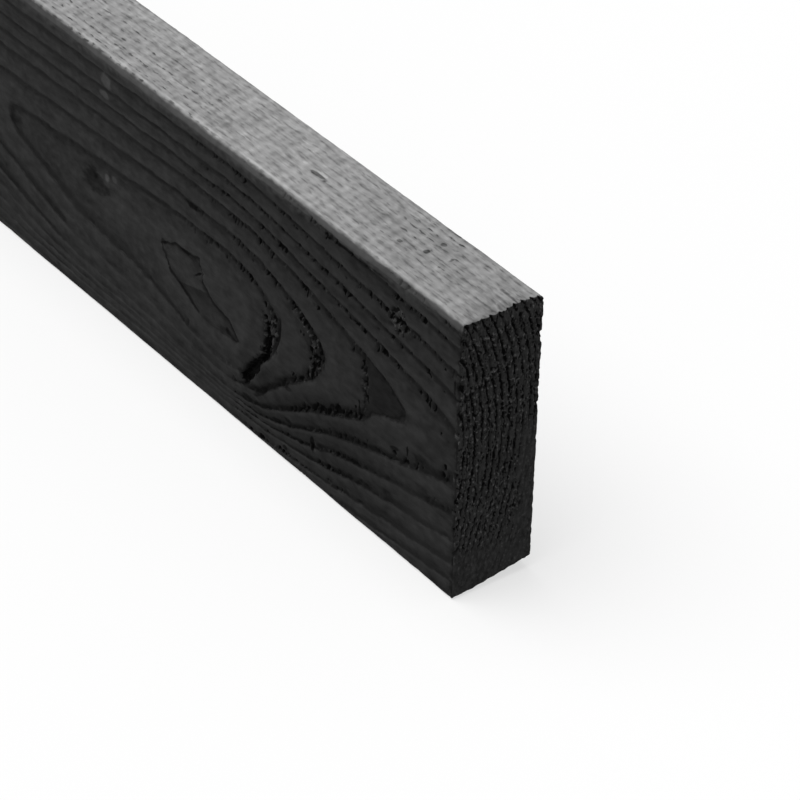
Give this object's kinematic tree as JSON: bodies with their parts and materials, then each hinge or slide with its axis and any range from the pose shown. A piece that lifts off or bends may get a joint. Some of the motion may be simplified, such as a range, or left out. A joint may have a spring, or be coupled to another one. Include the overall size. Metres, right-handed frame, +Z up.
{
  "type": "douglas fir beam",
  "caption": "Sawn softwood beam, stained black, of rectangular section with eased arrises, lying on its narrow face as stock for framing.",
  "frame": {"origin": "on the underside, at the middle of the length and of the thickness", "axes": "+X along the beam towards the trimmed end, +Y across the thickness towards the back wide face, +Z up the depth"},
  "size_m": [3, 0.045, 0.145],
  "materials": {
    "stained_wood": "rough-sawn softwood with a matt black stain"
  },
  "bodies": {
    "root": {"beam": "stained_wood"}
  },
  "joints": []
}
